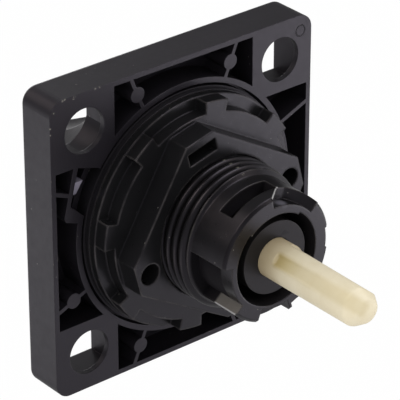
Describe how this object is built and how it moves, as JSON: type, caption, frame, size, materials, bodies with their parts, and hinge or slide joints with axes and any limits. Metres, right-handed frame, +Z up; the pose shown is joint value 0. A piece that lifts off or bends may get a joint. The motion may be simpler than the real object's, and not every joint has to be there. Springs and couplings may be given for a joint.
{
  "type": "rotary isolator switch",
  "caption": "Panel-mount operating head of a rotary isolator: square black plate with a grip handle, threaded neck with a castellated lock nut, bayonet end and ivory drive spindle.",
  "frame": {"origin": "centre of the plate's rear face, which lies on the panel, on the axis of the neck", "axes": "+Y along the neck axis towards the spindle, -Y towards the handle, +Z up"},
  "size_m": [0.048, 0.0607, 0.048],
  "materials": {
    "plate_black": "fine matt moulding",
    "sleeve_black": "semi-matt moulding",
    "nut_black": "semi-matt moulding",
    "washer_grey": "fibre washer",
    "gasket_rubber": "matt",
    "handle_black": "satin gloss",
    "rotor_grey": "semi-matt moulding",
    "insert_brass": "turned",
    "fixing_steel": "zinc plated",
    "seal_rubber": "matt",
    "bush_plastic": "bearing plastic",
    "spindle_ivory": "semi-matt moulding"
  },
  "bodies": {
    "housing": {"front_plate": "plate_black", "threaded_sleeve": "sleeve_black", "panel_gasket": "gasket_rubber", "sleeve_seal": "seal_rubber", "handle_seal": "seal_rubber", "rotor_bush": "bush_plastic"},
    "rotor": {"handle": "handle_black", "handle_cap": "handle_black", "handle_screw": "fixing_steel", "handle_washer": "fixing_steel", "drive_rotor": "rotor_grey", "rotor_insert": "insert_brass", "rotor_seal": "seal_rubber", "thrust_washer": "fixing_steel", "disc_spring": "fixing_steel", "retaining_ring": "fixing_steel", "spindle": "spindle_ivory", "spindle_pin": "fixing_steel"},
    "washer": {"nut_washer": "washer_grey"},
    "nut": {"lock_nut": "nut_black"}
  },
  "joints": [
    {"name": "handle_turn", "type": "hinge", "parent": "housing", "child": "rotor", "pos_m": [0, 0, 0], "axis": [0, 1, 0], "range_deg": [0, 90]},
    {"name": "nut_travel", "type": "slide", "parent": "housing", "child": "washer", "axis": [0, 1, 0], "range_m": [0, 0.00601]},
    {"name": "nut_turn", "type": "hinge", "parent": "washer", "child": "nut", "pos_m": [0, 0, 0], "axis": [0, 1, 0], "range_deg": [0, 1440]}
  ],
  "couplings": [
    {"joint": "nut_travel", "follows": "nut_turn", "m_per_rad": 0.00023873}
  ]
}
